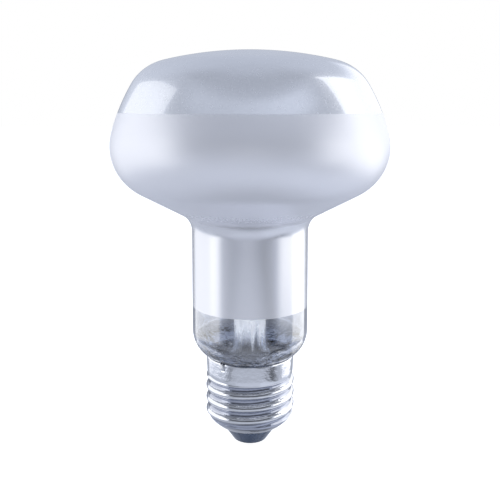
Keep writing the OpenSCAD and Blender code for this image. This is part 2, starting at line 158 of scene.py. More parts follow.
CROWN_C = (0, LAMP_LENGTH - CROWN_R)
EQUATOR_C = (BULB_D / 2 - EQUATOR_R, LAMP_LENGTH - EQUATOR_DROP)
SIDE_C = (EQUATOR_C[0] - (SIDE_R - EQUATOR_R) * cos(SIDE_LEAN),
          EQUATOR_C[1] - (SIDE_R - EQUATOR_R) * sin(SIDE_LEAN))
SHOULDER_C = inner_touch(CROWN_C, CROWN_R, SIDE_C, SIDE_R, SHOULDER_R)
CROWN_A = bearing(CROWN_C, SHOULDER_C)
SHOULDER_A = bearing(SIDE_C, SHOULDER_C)
CONE_END = (EQUATOR_C[0] + EQUATOR_R * sin(CONE), EQUATOR_C[1] - EQUATOR_R * cos(CONE))
FILLET_CX = NECK_R + NECK_FILLET_R
FILLET_C = (FILLET_CX, CONE_END[1] - (CONE_END[0] - FILLET_CX) * math.tan(math.radians(CONE))
            - NECK_FILLET_R / cos(CONE))
COAT_A = arcsin((LAMP_LENGTH - COAT_DROP - SIDE_C[1]) / (SIDE_R - GLASS_T))
COAT_LOW = CAP_H + CLEAR_H


# ---------------------------------------------------------------- mesh helpers

def arc(c, r, a0, a1, n, first=0):
    return [(c[0] + r * cos(a0 + (a1 - a0) * i / n), c[1] + r * sin(a0 + (a1 - a0) * i / n))
            for i in range(first, n + 1)]


def line(p, q, n, first=1):
    return [(p[0] + (q[0] - p[0]) * i / n, p[1] + (q[1] - p[1]) * i / n)
            for i in range(first, n + 1)]


def eased(t):
    """Runs from 0 to 1 as t does, with a level start and end."""
    return t * t * (3 - 2 * t)


def bent(v, power):
    """Draws a coordinate on the unit circle or ball outwards, where power is under 1."""
    return math.copysign(abs(v) ** power, v)


def make(name, verts, faces, materials, slot, nodes, bands=None, sharp=None):
    """A smooth closed mesh that rides on the lamp and stands for CAD nodes."""
    mesh = bpy.data.meshes.new(name)
    mesh.from_pydata([Vector(v) * MM for v in verts], [], faces)
    for m in materials:
        mesh.materials.append(m)
    for polygon, band in zip(mesh.polygons, bands or []):
        polygon.material_index = band
    mesh.validate()
    mesh.polygons.foreach_set("use_smooth", [True] * len(mesh.polygons))
    if sharp:
        mesh.set_sharp_from_angle(angle=math.radians(sharp))
    mesh.update()
    piece = bpy.data.objects.new(name, mesh)
    bpy.context.scene.collection.objects.link(piece)
    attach(piece, "root")
    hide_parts(*nodes)
    return piece


def lathe(name, rows, segments, materials, slot, nodes, bands=None, shift=None, sharp=None):
    """Turns a closed half outline of (r, z) rows, counter-clockwise, about Z.

    Each of the bands is the number of the material between a row and the next one.
    """
    verts, rings = [], []
    for r, z in rows:
        if r < 1e-6:
            rings.append([len(verts)] * segments)
            verts.append((0, 0, z))
            continue
        rings.append(range(len(verts), len(verts) + segments))
        for k in range(segments):
            a = 360 * k / segments
            p = Vector((r * cos(a), r * sin(a), z))
            verts.append(shift(p) if shift else p)
    faces, face_bands = [], []
    for j, a in enumerate(rings):
        b = rings[(j + 1) % len(rings)]
        if a[0] == a[1] and b[0] == b[1]:
            continue
        for k in range(segments):
            n = (k + 1) % segments
            faces.append(list(dict.fromkeys((a[k], a[n], b[n], b[k]))))
            face_bands.append(bands[j] if bands else 0)
    return make(name, verts, faces, materials, slot, nodes, face_bands, sharp)


def tube(points, r, sides):
    """Vertices and faces of a round wire along points, with flat ends."""
    pts = [Vector(p) for p in points]
    verts, faces = [], []
    side = Vector((0.3, 1, 0.2))
    for i, p in enumerate(pts):
        way = (pts[min(i + 1, len(pts) - 1)] - pts[max(i - 1, 0)]).normalized()
        if i == 0:
            side = way.cross(side).normalized()
        side = (side - side.dot(way) * way).normalized()
        up = way.cross(side)
        verts += [p + r * (cos(360 * k / sides) * side + sin(360 * k / sides) * up)
                  for k in range(sides)]
    for i in range(len(pts) - 1):
        a = i * sides
        for k in range(sides):
            n = (k + 1) % sides
            faces.append((a + k, a + n, a + sides + n, a + sides + k))
    faces.append(tuple(range(sides))[::-1])
    faces.append(tuple((len(pts) - 1) * sides + k for k in range(sides)))
    return verts, faces


def rounded(points, r, n=6):
    """A polyline with each corner turned into a small curve."""
    pts = [Vector(p) for p in points]
    out = [pts[0]]
    for a, b, c in zip(pts[:-2], pts[1:-1], pts[2:]):
        da, dc = (a - b), (c - b)
        t = min(r, da.length * 0.45, dc.length * 0.45)
        p, q = b + da.normalized() * t, b + dc.normalized() * t
        out += [p.lerp(b, s).lerp(b.lerp(q, s), s) for s in [i / n for i in range(n + 1)]]
    out.append(pts[-1])
    return out


# ---------------------------------------------------------------- materials

class Graph:
    """Short calls for a node tree."""

    def __init__(self, tree):
        self.tree = tree

    def node(self, kind, **props):
        n = self.tree.nodes.new(kind)
        for key, value in props.items():
            setattr(n, key, value)
        return n

    def link(self, a, b):
        self.tree.links.new(a, b)

    def math(self, operation, *values):
        n = self.node("ShaderNodeMath", operation=operation)
        for socket, value in zip(n.inputs, values):
            if isinstance(value, (int, float)):
                socket.default_value = value
            else:
                self.link(value, socket)
        return n.outputs[0]

    def times(self, product, *more):
        for value in more:
            product = self.math("MULTIPLY", product, value)
        return product

    def span(self, value, low, high, to_low, to_high, smooth=False):
        """Maps low to high onto to_low to to_high, and stays there outside."""
        n = self.node("ShaderNodeMapRange")
        n.interpolation_type = "SMOOTHSTEP" if smooth else "LINEAR"
        limits = {"From Min": low, "From Max": high, "To Min": to_low, "To Max": to_high}
        for key, limit in limits.items():
            n.inputs[key].default_value = limit
        self.link(value, n.inputs["Value"])
        return n.outputs["Result"]

    def ramp(self, value, stops):
        """A grey that follows (place, level) stops; the places run from 0 to 1."""
        n = self.node("ShaderNodeValToRGB")
        n.color_ramp.interpolation = "EASE"
        band = n.color_ramp.elements
        for e, (place, level) in zip((band[0], band[1]), (stops[0], stops[-1])):
            e.position, e.color = place, (level, level, level, 1)
        for place, level in stops[1:-1]:
            band.new(place).color = (level, level, level, 1)
        self.link(value, n.inputs["Fac"])
        return n.outputs["Color"]

    def blend(self, value, a, b):
        """Colour between a and b by value."""
        n = self.node("ShaderNodeMix", data_type="RGBA")
        n.inputs["A"].default_value = (*a, 1)
        n.inputs["B"].default_value = (*b, 1)
        self.link(value, n.inputs["Factor"])
        return n.outputs["Result"]

    def choose(self, value, a, b):
        """Shader a where value is 0, and b where it is 1."""
        n = self.node("ShaderNodeMixShader")
        for source, socket in zip((value, a, b), n.inputs):
            self.link(source, socket)
        return n.outputs[0]


class Shader(Graph):
    """One node material: a Principled BSDF with its plain sockets set on the shader."""

    def __init__(self, name, **plain):
        self.mat = bpy.data.materials.new(name)
        self.mat.use_nodes = True
        super().__init__(self.mat.node_tree)
        self.bsdf = self.tree.nodes["Principled BSDF"]
        self.out = self.tree.nodes["Material Output"]
        for key, value in plain.items():
            self.bsdf.inputs[key.replace("_", " ")].default_value = value
        self.coords = self.node("ShaderNodeTexCoord").outputs["Object"]

    def noise(self, scale, detail=3.0, roughness=0.55, stretch=None):
        """Noise over the object's own metres; scale is in cycles per metre."""
        coords = self.coords
        if stretch:
            m = self.node("ShaderNodeMapping")
            m.inputs["Scale"].default_value = stretch
            self.link(coords, m.inputs["Vector"])
            coords = m.outputs["Vector"]
        n = self.node("ShaderNodeTexNoise")
        n.inputs["Scale"].default_value = scale
        n.inputs["Detail"].default_value = detail
        n.inputs["Roughness"].default_value = roughness
        self.link(coords, n.inputs["Vector"])
        return n.outputs["Fac"]

    def spread(self, value, low, high):
        """Draws out noise, which stays mostly between 0.3 and 0.7, to low and high."""
        return self.span(value, 0.3, 0.7, low, high)

    def axis(self, name):
        n = self.node("ShaderNodeSeparateXYZ")
        self.link(self.coords, n.inputs[0])
        return n.outputs[name]

    def set(self, key, value):
        self.link(value, self.bsdf.inputs[key])

    def bump(self, height, strength, distance, below=None):
        n = self.node("ShaderNodeBump")
        n.inputs["Strength"].default_value = strength
        n.inputs["Distance"].default_value = distance
        self.link(height, n.inputs["Height"])
        if below:
            self.link(below, n.inputs["Normal"])
        return n.outputs["Normal"]

    def clear_to_shadow(self):
        """Lets light and shade pass straight through, as they do through a thin wall."""
        path = self.node("ShaderNodeLightPath")
        clear = self.node("ShaderNodeBsdfTransparent")
        clear.inputs["Color"].default_value = (0.97, 0.98, 0.995, 1)
        both = self.math("MAXIMUM", path.outputs["Is Shadow Ray"], path.outputs["Is Diffuse Ray"])
        shown = self.choose(both, self.bsdf.outputs[0], clear.outputs[0])
        self.link(shown, self.out.inputs["Surface"])


# where the looks change, in metres: heights, and the radius of the thread's groove
BOWL_METAL, BOWL_SATIN = (0.066, 0.078), (0.066, 0.082)
# heights where the clear glass is folded and painted darker as shade
DRAWN_IN_AND_SHADE = (0.0285, 0.0335)
# heights over which the stem's top is painted white, as painted light
STEM_PAINTED_LIGHT = (0.030, 0.038)
# radius of the thread's groove, and heights near the shoulder, that bound the shade painted on the
# cap
SHADED_GROOVE, SHADED_GROOVE_FOOT = (0.0121, 0.0127), (0.0075, 0.009)


def frosted_glass():
    s = Shader("frosted_glass", Metallic=0.48, Specular_IOR_Level=0.0, Coat_Weight=1.0,
               Coat_Roughness=0.02, Coat_IOR=2.1)
    s.set("Base Color", s.blend(s.noise(60, 4), (0.765, 0.785, 0.83), (0.825, 0.845, 0.89)))
    s.set("Roughness", s.spread(s.noise(900, 2), 0.22, 0.28))
    s.set("Normal", s.bump(s.noise(5000, 2), 0.05, 0.00002))
    return s.mat


def silvered_glass():
    """Mirror metal behind glass that is frosted on the bowl and nearly clear on the neck."""
    s = Shader("silvered_glass", Specular_IOR_Level=0.0)
    cloud = s.noise(45, 4, stretch=(1, 1, 0.35))
    s.set("Base Color", s.blend(cloud, (0.80, 0.805, 0.84), (0.84, 0.845, 0.88)))
    z = s.axis("Z")
    s.set("Metallic", s.span(z, *BOWL_METAL, 0.76, 0.58, smooth=True))
    satin = s.span(z, *BOWL_SATIN, 0.24, 0.40, smooth=True)
    s.set("Roughness", s.math("ADD", satin, s.spread(s.noise(1200, 2), -0.015, 0.015)))
    s.set("Normal", s.bump(s.noise(5200, 2), 0.05, 0.00002))
    return s.mat


def clear_glass():
    """Clear wall that is thick and folded where the glass is drawn in above the cap; there its
    colour is darkened as painted shade.
    """
    s = Shader("clear_glass", Roughness=0.0, IOR=1.5, Transmission_Weight=1.0, Coat_Weight=1.0,
               Coat_Roughness=0.0, Coat_IOR=2.6)
    low = s.span(s.axis("Z"), *DRAWN_IN_AND_SHADE, 1.0, 0.0, smooth=True)
    # painted shade: the glass's colour turns dark blue towards the cap
    s.set("Base Color", s.blend(low, (0.93, 0.95, 1.0), (0.22, 0.28, 0.43)))
    folds = s.bump(s.times(s.noise(165, 3, stretch=(1, 1, 1.7)), low), 0.8, 0.0032)
    s.set("Normal", folds)
    s.set("Coat Normal", folds)
    s.clear_to_shadow()
    return s.mat


def plain_glass():
    """Inner face of the clear wall, smooth and slightly wavy."""
    s = Shader("plain_glass", Roughness=0.0, IOR=1.5, Transmission_Weight=1.0)
    ripple = s.noise(90, 2)
    s.set("Base Color", s.blend(ripple, (0.94, 0.955, 1.0), (0.965, 0.975, 1.0)))
    s.set("Normal", s.bump(ripple, 0.1, 0.0004))
    s.clear_to_shadow()
    return s.mat


def stem_glass():
    """Clear tube whose upper end is painted white and opaque, which fades downwards: painted light
    for the light that the mirror throws down onto it.
    """
    s = Shader("stem_glass", IOR=1.56, Coat_Weight=1.0, Coat_Roughness=0.02, Coat_IOR=1.8)
    streaks = s.spread(s.noise(700, 2, stretch=(1, 1, 0.05)), -0.003, 0.003)
    # painted light: the stem's top is white and opaque, as if lit from above
    painted_light = s.span(s.math("ADD", s.axis("Z"), streaks), *STEM_PAINTED_LIGHT, 0.0, 1.0, smooth=True)
    s.set("Base Color", s.blend(painted_light, (0.94, 0.96, 1.0), (1.0, 0.99, 0.95)))
    s.set("Roughness", s.span(painted_light, 0, 1, 0.02, 0.45))
    s.set("Transmission Weight", s.span(painted_light, 0, 1, 1.0, 0.0))
    s.set("Normal", s.bump(s.noise(420, 2, stretch=(1, 1, 0.08)), 0.5, 0.0007))
    s.clear_to_shadow()
    return s.mat


def mirror_coat():
    s = Shader("mirror_coat", Metallic=1.0)
    s.set("Base Color", s.blend(s.noise(120, 3), (0.84, 0.86, 0.90), (0.90, 0.91, 0.94)))
    s.set("Roughness", s.spread(s.noise(700, 2), 0.22, 0.30))
    return s.mat


def cap_metal():
    """Plated sheet, bright on the crests and the collar, with painted shade darkening it down in
    the grooves.
    """
    s = Shader("cap_metal", Metallic=1.0)
    rings = s.noise(90, 5, 0.7, stretch=(1, 1, 26))
    patch = s.noise(160, 3)
    x, y, z = (s.axis(a) for a in "XYZ")
    radius = s.math("SQRT", s.math("ADD", s.times(x, x), s.times(y, y)))
    # painted shade: the sheet's colour darkens in the grooves, weaker low down at the shoulder;
    # patches of random tone come on top
    groove_shade = s.times(s.span(radius, *SHADED_GROOVE, 1, 0, smooth=True),
                     s.span(z, *SHADED_GROOVE_FOOT, 0.2, 1, smooth=True))
    dull = s.math("ADD", groove_shade, s.spread(patch, -0.06, 0.06))
    s.set("Base Color", s.blend(dull, (0.88, 0.89, 0.92), (0.48, 0.505, 0.59)))
    s.set("Roughness", s.math("ADD", s.spread(rings, 0.03, 0.08),
                              s.span(patch, 0.35, 0.7, 0.0, 0.04)))
    s.set("Normal", s.bump(s.noise(480, 3), 0.42, 0.00022, s.bump(rings, 0.2, 0.0001)))
    return s.mat


def cement():
    s = Shader("cement")
    grain = s.noise(1500, 4, 0.6)
    # painted shade: the cement is coloured nearly black for the shadow in the gap between glass and
    # collar
    s.set("Base Color", s.blend(grain, (0.035, 0.044, 0.070), (0.075, 0.088, 0.125)))
    s.set("Roughness", s.spread(grain, 0.75, 0.95))
    s.set("Normal", s.bump(grain, 0.7, 0.0002))
    return s.mat


def black_glass():
    s = Shader("black_glass", Coat_Weight=0.6, Coat_Roughness=0.05)
    swirl = s.noise(260, 4)
    s.set("Base Color", s.blend(swirl, (0.044, 0.062, 0.104), (0.082, 0.113, 0.178)))
    s.set("Roughness", s.spread(swirl, 0.16, 0.34))
    s.set("Normal", s.bump(s.noise(520, 3), 0.25, 0.00025))
    return s.mat


def contact_brass():
    s = Shader("contact_brass", Metallic=1.0)
    rub = s.noise(800, 3, stretch=(1, 1, 5))
    s.set("Base Color", s.blend(rub, (0.68, 0.54, 0.30), (0.80, 0.67, 0.42)))
    s.set("Roughness", s.spread(rub, 0.22, 0.38))
    s.set("Normal", s.bump(rub, 0.15, 0.00005))
    return s.mat


def solder():
    s = Shader("solder", Metallic=1.0)
    skin = s.noise(1500, 3)
    s.set("Base Color", s.blend(skin, (0.76, 0.77, 0.80), (0.88, 0.89, 0.92)))
    s.set("Roughness", s.spread(skin, 0.40, 0.58))
    s.set("Normal", s.bump(s.noise(900, 2), 0.35, 0.00018))
    return s.mat


def drawn_wire(name, dark, pale, rough):
    s = Shader(name, Metallic=1.0)
    draw = s.noise(1800, 3, stretch=(1, 1, 0.1))
    s.set("Base Color", s.blend(draw, dark, pale))
    s.set("Roughness", s.spread(draw, rough - 0.06, rough + 0.08))
    s.set("Normal", s.bump(draw, 0.12, 0.00003))
    return s.mat


FROSTED, SILVERED, CLEAR, PLAIN = frosted_glass(), silvered_glass(), clear_glass(), plain_glass()
STEM, MIRROR, CAP, CEMENT = stem_glass(), mirror_coat(), cap_metal(), cement()
BLACK, BRASS, SOLDER = black_glass(), contact_brass(), solder()
NICKEL = drawn_wire("nickel_wire", (0.50, 0.50, 0.52), (0.66, 0.66, 0.68), 0.34)
COPPER = drawn_wire("tinned_copper_wire", (0.52, 0.49, 0.47), (0.70, 0.67, 0.65), 0.30)
TUNGSTEN = drawn_wire("tungsten_wire", (0.20, 0.20, 0.21), (0.32, 0.32, 0.34), 0.45)


# ---------------------------------------------------------------- blown glass and its coat

# the bulb's materials, by number
ETCHED, COATED, CLEAR_OUT, CLEAR_IN = range(4)


def bulb_rows(inset, dome, coat, clear):
    """Half outline from the crown to the tail, and the material under each row."""
    neck_r, tail_r = NECK_R - inset, TAIL_R - inset
    cone_top = (EQUATOR_C[0] + (EQUATOR_R - inset) * sin(CONE),
                EQUATOR_C[1] - (EQUATOR_R - inset) * cos(CONE))
    cone_foot = (FILLET_C[0] + (NECK_FILLET_R + inset) * cos(90 + CONE),
                 FILLET_C[1] + (NECK_FILLET_R + inset) * sin(90 + CONE))
    crown = ([(0, LAMP_LENGTH - inset)]
             + arc(CROWN_C, CROWN_R - inset, 90, CROWN_A, 26, 1)
             + arc(SHOULDER_C, SHOULDER_R - inset, CROWN_A, SHOULDER_A, 18, 1)
             + arc(SIDE_C, SIDE_R - inset, SHOULDER_A, COAT_A, 5, 1))
    bowl = (arc(SIDE_C, SIDE_R - inset, COAT_A, SIDE_LEAN, 10, 1)
            + arc(EQUATOR_C, EQUATOR_R - inset, SIDE_LEAN, CONE - 90, 26, 1)
            + line(cone_top, cone_foot, 6)
            + arc(FILLET_C, NECK_FILLET_R + inset, 90 + CONE, 180, 14, 1)
            + line((neck_r, FILLET_C[1]), (neck_r, COAT_LOW), 8))
    foot = (line((neck_r, COAT_LOW), (neck_r, FOOT_C[1]), 3)
            + arc(FOOT_C, FOOT_R - inset, 0, -FOOT_TURN, 22, 1)
            + arc(TAIL_C, TAIL_FILLET_R + inset, 180 - FOOT_TURN, 180, 8, 1)
            + line((tail_r, TAIL_C[1]), (tail_r, GLASS_Z), 2))
    bands = [dome] * (len(crown) - 1) + [coat] * len(bowl) + [clear] * (len(foot) + 1)
    return crown + bowl + foot, bands


def bulb():
    inner, inner_bands = bulb_rows(GLASS_T, COATED, COATED, CLEAR_IN)
    outer, outer_bands = bulb_rows(0, ETCHED, COATED, CLEAR_OUT)
    # the outline goes down inside, across the tail's end, and up outside
    bands = inner_bands[:-1] + [CLEAR_OUT] + outer_bands[-2::-1] + [ETCHED]
    return lathe("bulb_glass", inner + outer[::-1], 160, [FROSTED, SILVERED, CLEAR, PLAIN],
                 "bulb_glass", ["envelope"], bands)


def liner():
    def path(inset):
        return (arc(SIDE_C, SIDE_R - inset, COAT_A, SIDE_LEAN, 8)
                + arc(EQUATOR_C, EQUATOR_R - inset, SIDE_LEAN, CONE - 90, 16, 1)
                + arc(FILLET_C, NECK_FILLET_R + inset, 90 + CONE, 180, 12)
                + [(NECK_R - inset, COAT_LOW)])
    rows = path(GLASS_T + COAT_GAP)[::-1] + path(GLASS_T + COAT_T)
    return lathe("mirror_coat", rows, 128, [MIRROR], "mirror_coat", ["reflector_coating"])


# ---------------------------------------------------------------- stem

def stem_rows():
    """Half outlines of the round part, outside and in the bore; both start at the flare's edge."""
    edge_bore = FLARE_EDGE_R - STEM_T
    out_a = arccos((FLARE_C[0] - FLARE_EDGE_R) / FLARE_R)
    in_a = arccos((FLARE_C[0] - edge_bore) / (FLARE_R + STEM_T))
    outside = ([(edge_bore, GLASS_Z + 0.15), (edge_bore + 0.25, GLASS_Z),
                (FLARE_EDGE_R - 0.2, GLASS_Z), (FLARE_EDGE_R, GLASS_Z + 0.2)]
               + arc(FLARE_C, FLARE_R, 180 + out_a, 180, 16)
               + line((STEM_R, FLARE_C[1]), (STEM_R, PRESS_FOOT), 8))
    bore = (arc(FLARE_C, FLARE_R + STEM_T, 180 + in_a, 180, 16)
            + line((STEM_BORE_R, FLARE_C[1]), (STEM_BORE_R, PRESS_FOOT), 8)
            + arc((STEM_BORE_R - 2, PRESS_FOOT), 2, 0, 90, 6, 1))
    return outside, bore


def press_sections():
    """Height, half width, half thickness and power, from the round stem to the press's top."""
    steps = 8
    sections = []
    for i in range(1, steps + 1):
        t = eased(i / steps)
        sections.append((PRESS_FOOT + (PRESS_Z - PRESS_FOOT) * i / steps,
                         STEM_R + (PRESS_W / 2 - STEM_R) * t,
                         STEM_R + (PRESS_T / 2 - STEM_R) * t, ROUND + (SQUARE - ROUND) * t))
    return sections + [(PRESS_TOP - drop, PRESS_W / 2 - less, PRESS_T / 2 - less, SQUARE)
                       for drop, less in PRESS_END]


def stem_ring(z, half_x, half_y, power):
    """One round of vertices, on an ellipse that a higher power squares off."""
    angles = [360 * k / STEM_SIDES for k in range(STEM_SIDES)]
    return [(half_x * bent(cos(a), 2 / power), half_y * bent(sin(a), 2 / power), z)
            for a in angles]


def stem_skin(starts, tip, inward):
    """Faces between rings that start at these vertices, and from the last ring to its tip."""
    faces = []
    ends = [((k + 1) % STEM_SIDES, k) if inward else (k, (k + 1) % STEM_SIDES)
            for k in range(STEM_SIDES)]
    for a, b in zip(starts[:-1], starts[1:]):
        faces += [(a + k, a + n, b + n, b + k) for k, n in ends]
    return faces + [(starts[-1] + k, starts[-1] + n, tip) for k, n in ends]


def stem():
    outside, bore = stem_rows()
    outer = [(z, r, r, ROUND) for r, z in outside] + press_sections()
    inner = [(z, r, r, ROUND) for r, z in bore]
    verts, faces = [], []
    for sections, tip_z, inward in ((outer, PRESS_TOP, False), (inner, STEM_FLOOR, True)):
        # the bore goes on from the outside's first ring
        starts = [0] if inward else []
        for section in sections:
            starts.append(len(verts))
            verts += stem_ring(*section)
        faces += stem_skin(starts, len(verts), inward)
        verts.append((0, 0, tip_z))
    return make("stem_glass", verts, faces, [STEM], "stem_glass", ["stem_flare"])


def exhaust():
    tip = (0, EXHAUST_TIP + EXHAUST_R)
    wall = EXHAUST_R - EXHAUST_BORE_R
    rows = ([(0, EXHAUST_TIP)] + arc(tip, EXHAUST_R, -90, 0, 10, 1)
            + line((EXHAUST_R, tip[1]), (EXHAUST_R, EXHAUST_TOP), 10)
            + [(EXHAUST_BORE_R, EXHAUST_TOP)]
            + line((EXHAUST_BORE_R, EXHAUST_TOP), (EXHAUST_BORE_R, tip[1]), 10)
            + arc(tip, EXHAUST_BORE_R, 0, -90, 8, 1)[:-1] + [(0, EXHAUST_TIP + wall)])
    return lathe("exhaust_glass", rows, 48, [STEM], "stem_glass", ["exhaust_tube"], sharp=40)


# ---------------------------------------------------------------- leads in the stem and cap

LEAD_TOP = STEM_FLOOR - 0.5
LEAD_SIDES = 14


def side_lead():
    """Down the stem, out under the glass, up beside its tail and over to the notch."""
    start = Vector((-LEAD_X, 0, 0))
    end = Vector((RIM_R * cos(NOTCH_A), RIM_R * sin(NOTCH_A), 0))
    way = (end - start).normalized()
    along = start.dot(way)
    beside = sqrt(along ** 2 - start.length_squared + (TAIL_R + TAIL_SPACE / 2) ** 2) - along
    turn = GLASS_Z - 1.2
    route = [(0, LEAD_TOP), (0, turn), (beside, turn), (beside, turn + 4.1),
             ((end - start).length - 0.05, turn + 5.4)]
    pts = rounded([start + way * s + Vector((0, 0, z)) for s, z in route], 0.8)
    return make("side_lead_wire", *tube(pts, LEAD_D / 2, LEAD_SIDES), [COPPER], "copper_wire",
                ["side_lead"], sharp=40)


def centre_lead():
    """Down the stem, across to the axis and on to the centre contact."""
    bend = GLASS_Z - 7
    route = [(LEAD_X, 0, LEAD_TOP), (LEAD_X, 0, bend), (0, 0, bend - 6), (0, 0, 0.3)]
    return make("centre_lead_wire", *tube(rounded(route, 1.5), LEAD_D / 2, LEAD_SIDES), [COPPER],
                "copper_wire", ["centre_lead"], sharp=40)


# ---------------------------------------------------------------- screw cap

def wave(turns):
    """Equal crest and root arcs of the thread, from -1 to 1; a crest is at each whole turn."""
    quarter, half = PITCH / 4, THREAD_DEPTH / 2
    r = (quarter ** 2 + half ** 2) / (2 * half)
    t = turns - math.floor(turns + 0.5)
    crest = abs(t) <= 0.25
    u = (abs(t) if crest else 0.5 - abs(t)) * PITCH
    h = half - r + sqrt(r * r - u * u)
    return (h if crest else -h) / half


def thread_r(a, z):
    """Outside of the shell between shoulder and collar, at bearing a."""
    f = eased(min(1, (z - SHOULDER_Z) / THREAD_FADE, (COLLAR_Z - z) / THREAD_FADE))
    rest = ROOT_R if z < (SHOULDER_Z + COLLAR_Z) / 2 else MEAN_R
    return rest + f * (MEAN_R - rest + THREAD_DEPTH / 2 * wave((z - THREAD_Z) / PITCH - a / 360))


def collar_r(z):
    return COLLAR_FOOT_R + (RIM_R - COLLAR_FOOT_R) * (z - COLLAR_Z - COLLAR_FOOT_H) \
        / (COLLAR_H - COLLAR_FOOT_H)


def shoulder_rows(inset, n=8):
    """From the lip over the bulging shoulder to the thread."""
    p, q = Vector((LIP_R - inset / 2, LIP_Z + inset)), Vector((ROOT_R - inset, SHOULDER_Z))
    way = (q - p).normalized()
    side = Vector((way.y, -way.x))
    return [tuple(p.lerp(q, t) + side * (4 * SHOULDER_BULGE * t * (1 - t)))
            for t in [i / n for i in range(n + 1)]]


def shell_column(a, top, inset, rows=104):
    """One upright line of the sheet at bearing a, from the lip to just under its top."""
    dent = max(0, COLLAR_DENT * sin(3 * a + 20))
    heights = [SHOULDER_Z + (COLLAR_Z - SHOULDER_Z) * k / rows for k in range(1, rows + 1)]
    join = thread_r(a, COLLAR_Z) * 0.6 + collar_r(COLLAR_Z + COLLAR_FOOT_H) * 0.4
    collar = (COLLAR_Z + COLLAR_FOOT_H, COLLAR_Z + 1.4, COLLAR_Z + 2.6, top - 0.5, top - 0.1)
    return (shoulder_rows(inset) + [(thread_r(a, z) - inset, z) for z in heights]
            + [(join - inset, COLLAR_Z + 0.35)]
            + [(collar_r(z) - inset - dent * (z - COLLAR_Z) / COLLAR_H, z) for z in collar])


def screw_shell():
    half_notch = arcsin(NOTCH_W / 2 / RIM_R)
    steps = 300
    columns = [(NOTCH_A + half_notch + (360 - 2 * half_notch) * i / steps, CAP_H)
               for i in range(steps + 1)]
    columns += [(NOTCH_A + 360 + s * half_notch, CAP_H - NOTCH_DEPTH + h) for s, h in NOTCH_FLOOR]
    verts, faces = [], []
    for a, top in columns:
        edge = [(collar_r(top) - RIM_ROUND, top), (collar_r(top) - SHELL_T + RIM_ROUND, top)]
        path = shell_column(a, top, 0) + edge + shell_column(a, top, SHELL_T)[::-1]
        verts += [(r * cos(a), r * sin(a), z) for r, z in path]
    loop = len(path)
    for i in range(len(columns)):
        a, b = i * loop, (i + 1) % len(columns) * loop
        for k in range(loop):
            n = (k + 1) % loop
            faces.append((a + k, b + k, b + n, a + n))
    return make("rolled_cap", verts, faces, [CAP], "cap_metal", ["screw_shell"], sharp=50)


def glass_r(z):
    """Outside of the glass at a height inside the cap."""
    if z < TAIL_C[1]:
        return TAIL_R
    if z > FOOT_C[1] - FOOT_R * sin(FOOT_TURN):
        return FOOT_C[0] + sqrt(max(0, FOOT_R ** 2 - (FOOT_C[1] - z) ** 2))
    return TAIL_C[0] - sqrt(max(0, TAIL_FILLET_R ** 2 - (z - TAIL_C[1]) ** 2))


def cement_ring():
    """Fills the gap between glass and collar, with a lumpy upper edge."""
    foot, top, gap, lumps, steps = GLASS_Z + 0.4, CAP_H - 0.9, 0.02, 0.35, 10
    heights = [foot + (top - foot) * i / steps for i in range(steps + 1)]
    rows = [(collar_r(z) - SHELL_T - gap if z > COLLAR_Z + COLLAR_FOOT_H
             else MEAN_R - SHELL_T - 0.15, z) for z in heights]
    rows += [(glass_r(z) + gap, z) for z in heights[::-1]]

    def shift(p):
        if p.z > top - 0.3:
            p.z -= lumps * (0.5 + 0.5 * noise.noise(p * 0.9))
        return p
    return lathe("capping_cement", rows, 144, [CEMENT], "cement", ["capping_cement"], shift=shift,
                 sharp=40)


def insulator():
    """Cone with a rounded tip that carries the contact and fills the shell's shoulder."""
    rows = ([(EYELET_R, PLATE_TOP), (INSULATOR_TIP_R - 0.4, PLATE_TOP),
             (INSULATOR_TIP_R - 0.15, PLATE_TOP + 0.05), (INSULATOR_TIP_R, PLATE_TOP + 0.16)]
            + line((INSULATOR_TIP_R + 0.02, PLATE_TOP + 0.2), (LIP_R - 0.4, LIP_Z - 0.1), 10, 0)
            + shoulder_rows(SHELL_T + 0.02)
            + [(7.5, SHOULDER_Z - 0.8), (EYELET_R, SHOULDER_Z - 2.4)])
    return lathe("insulator_glass", rows, 128, [BLACK], "black_glass", ["cap_insulator"], sharp=35)


def contact():
    """Disc with a short sleeve for the centre lead, both with rounded edges."""
    rows = [(EYELET_BORE_R, PLATE_Z), (PLATE_R - 0.2, PLATE_Z), (PLATE_R - 0.05, PLATE_Z + 0.05),
            (PLATE_R, PLATE_Z + 0.15), (PLATE_R, PLATE_TOP - 0.1), (PLATE_R - 0.1, PLATE_TOP),
            (EYELET_R, PLATE_TOP), (EYELET_R, EYELET_TOP - 0.1), (EYELET_R - 0.1, EYELET_TOP),
            (EYELET_BORE_R + 0.1, EYELET_TOP), (EYELET_BORE_R, EYELET_TOP - 0.1)]
    return lathe("contact_plate", rows, 96, [BRASS], "contact_brass", ["contact_plate"], sharp=40)


def centre_solder():
    """Flat-tipped drop with an uneven edge."""
    rows = [(0, 0.0), (0.7, 0.0), (1.2, 0.01), (1.5, 0.05), (1.8, 0.12), (2.1, 0.21), (2.4, 0.31),
            (2.65, 0.4), (2.85, 0.49), (2.97, 0.56), (2.98, PLATE_Z), (2.0, PLATE_Z),
            (1.0, PLATE_Z), (0, PLATE_Z)]

    flat_r, skirt, uneven = 1.4, 1.2, 0.06

    def shift(p):
        edge = min(1, max(0, (math.hypot(p.x, p.y) - flat_r) / skirt))
        k = 1 - uneven * edge * (0.5 + 0.5 * noise.noise(Vector((p.x, p.y, 0)) * 1.3))
        return Vector((p.x * k, p.y * k, p.z))
    return lathe("centre_solder", rows, 72, [SOLDER], "solder", ["centre_solder"], shift=shift,
                 sharp=50)


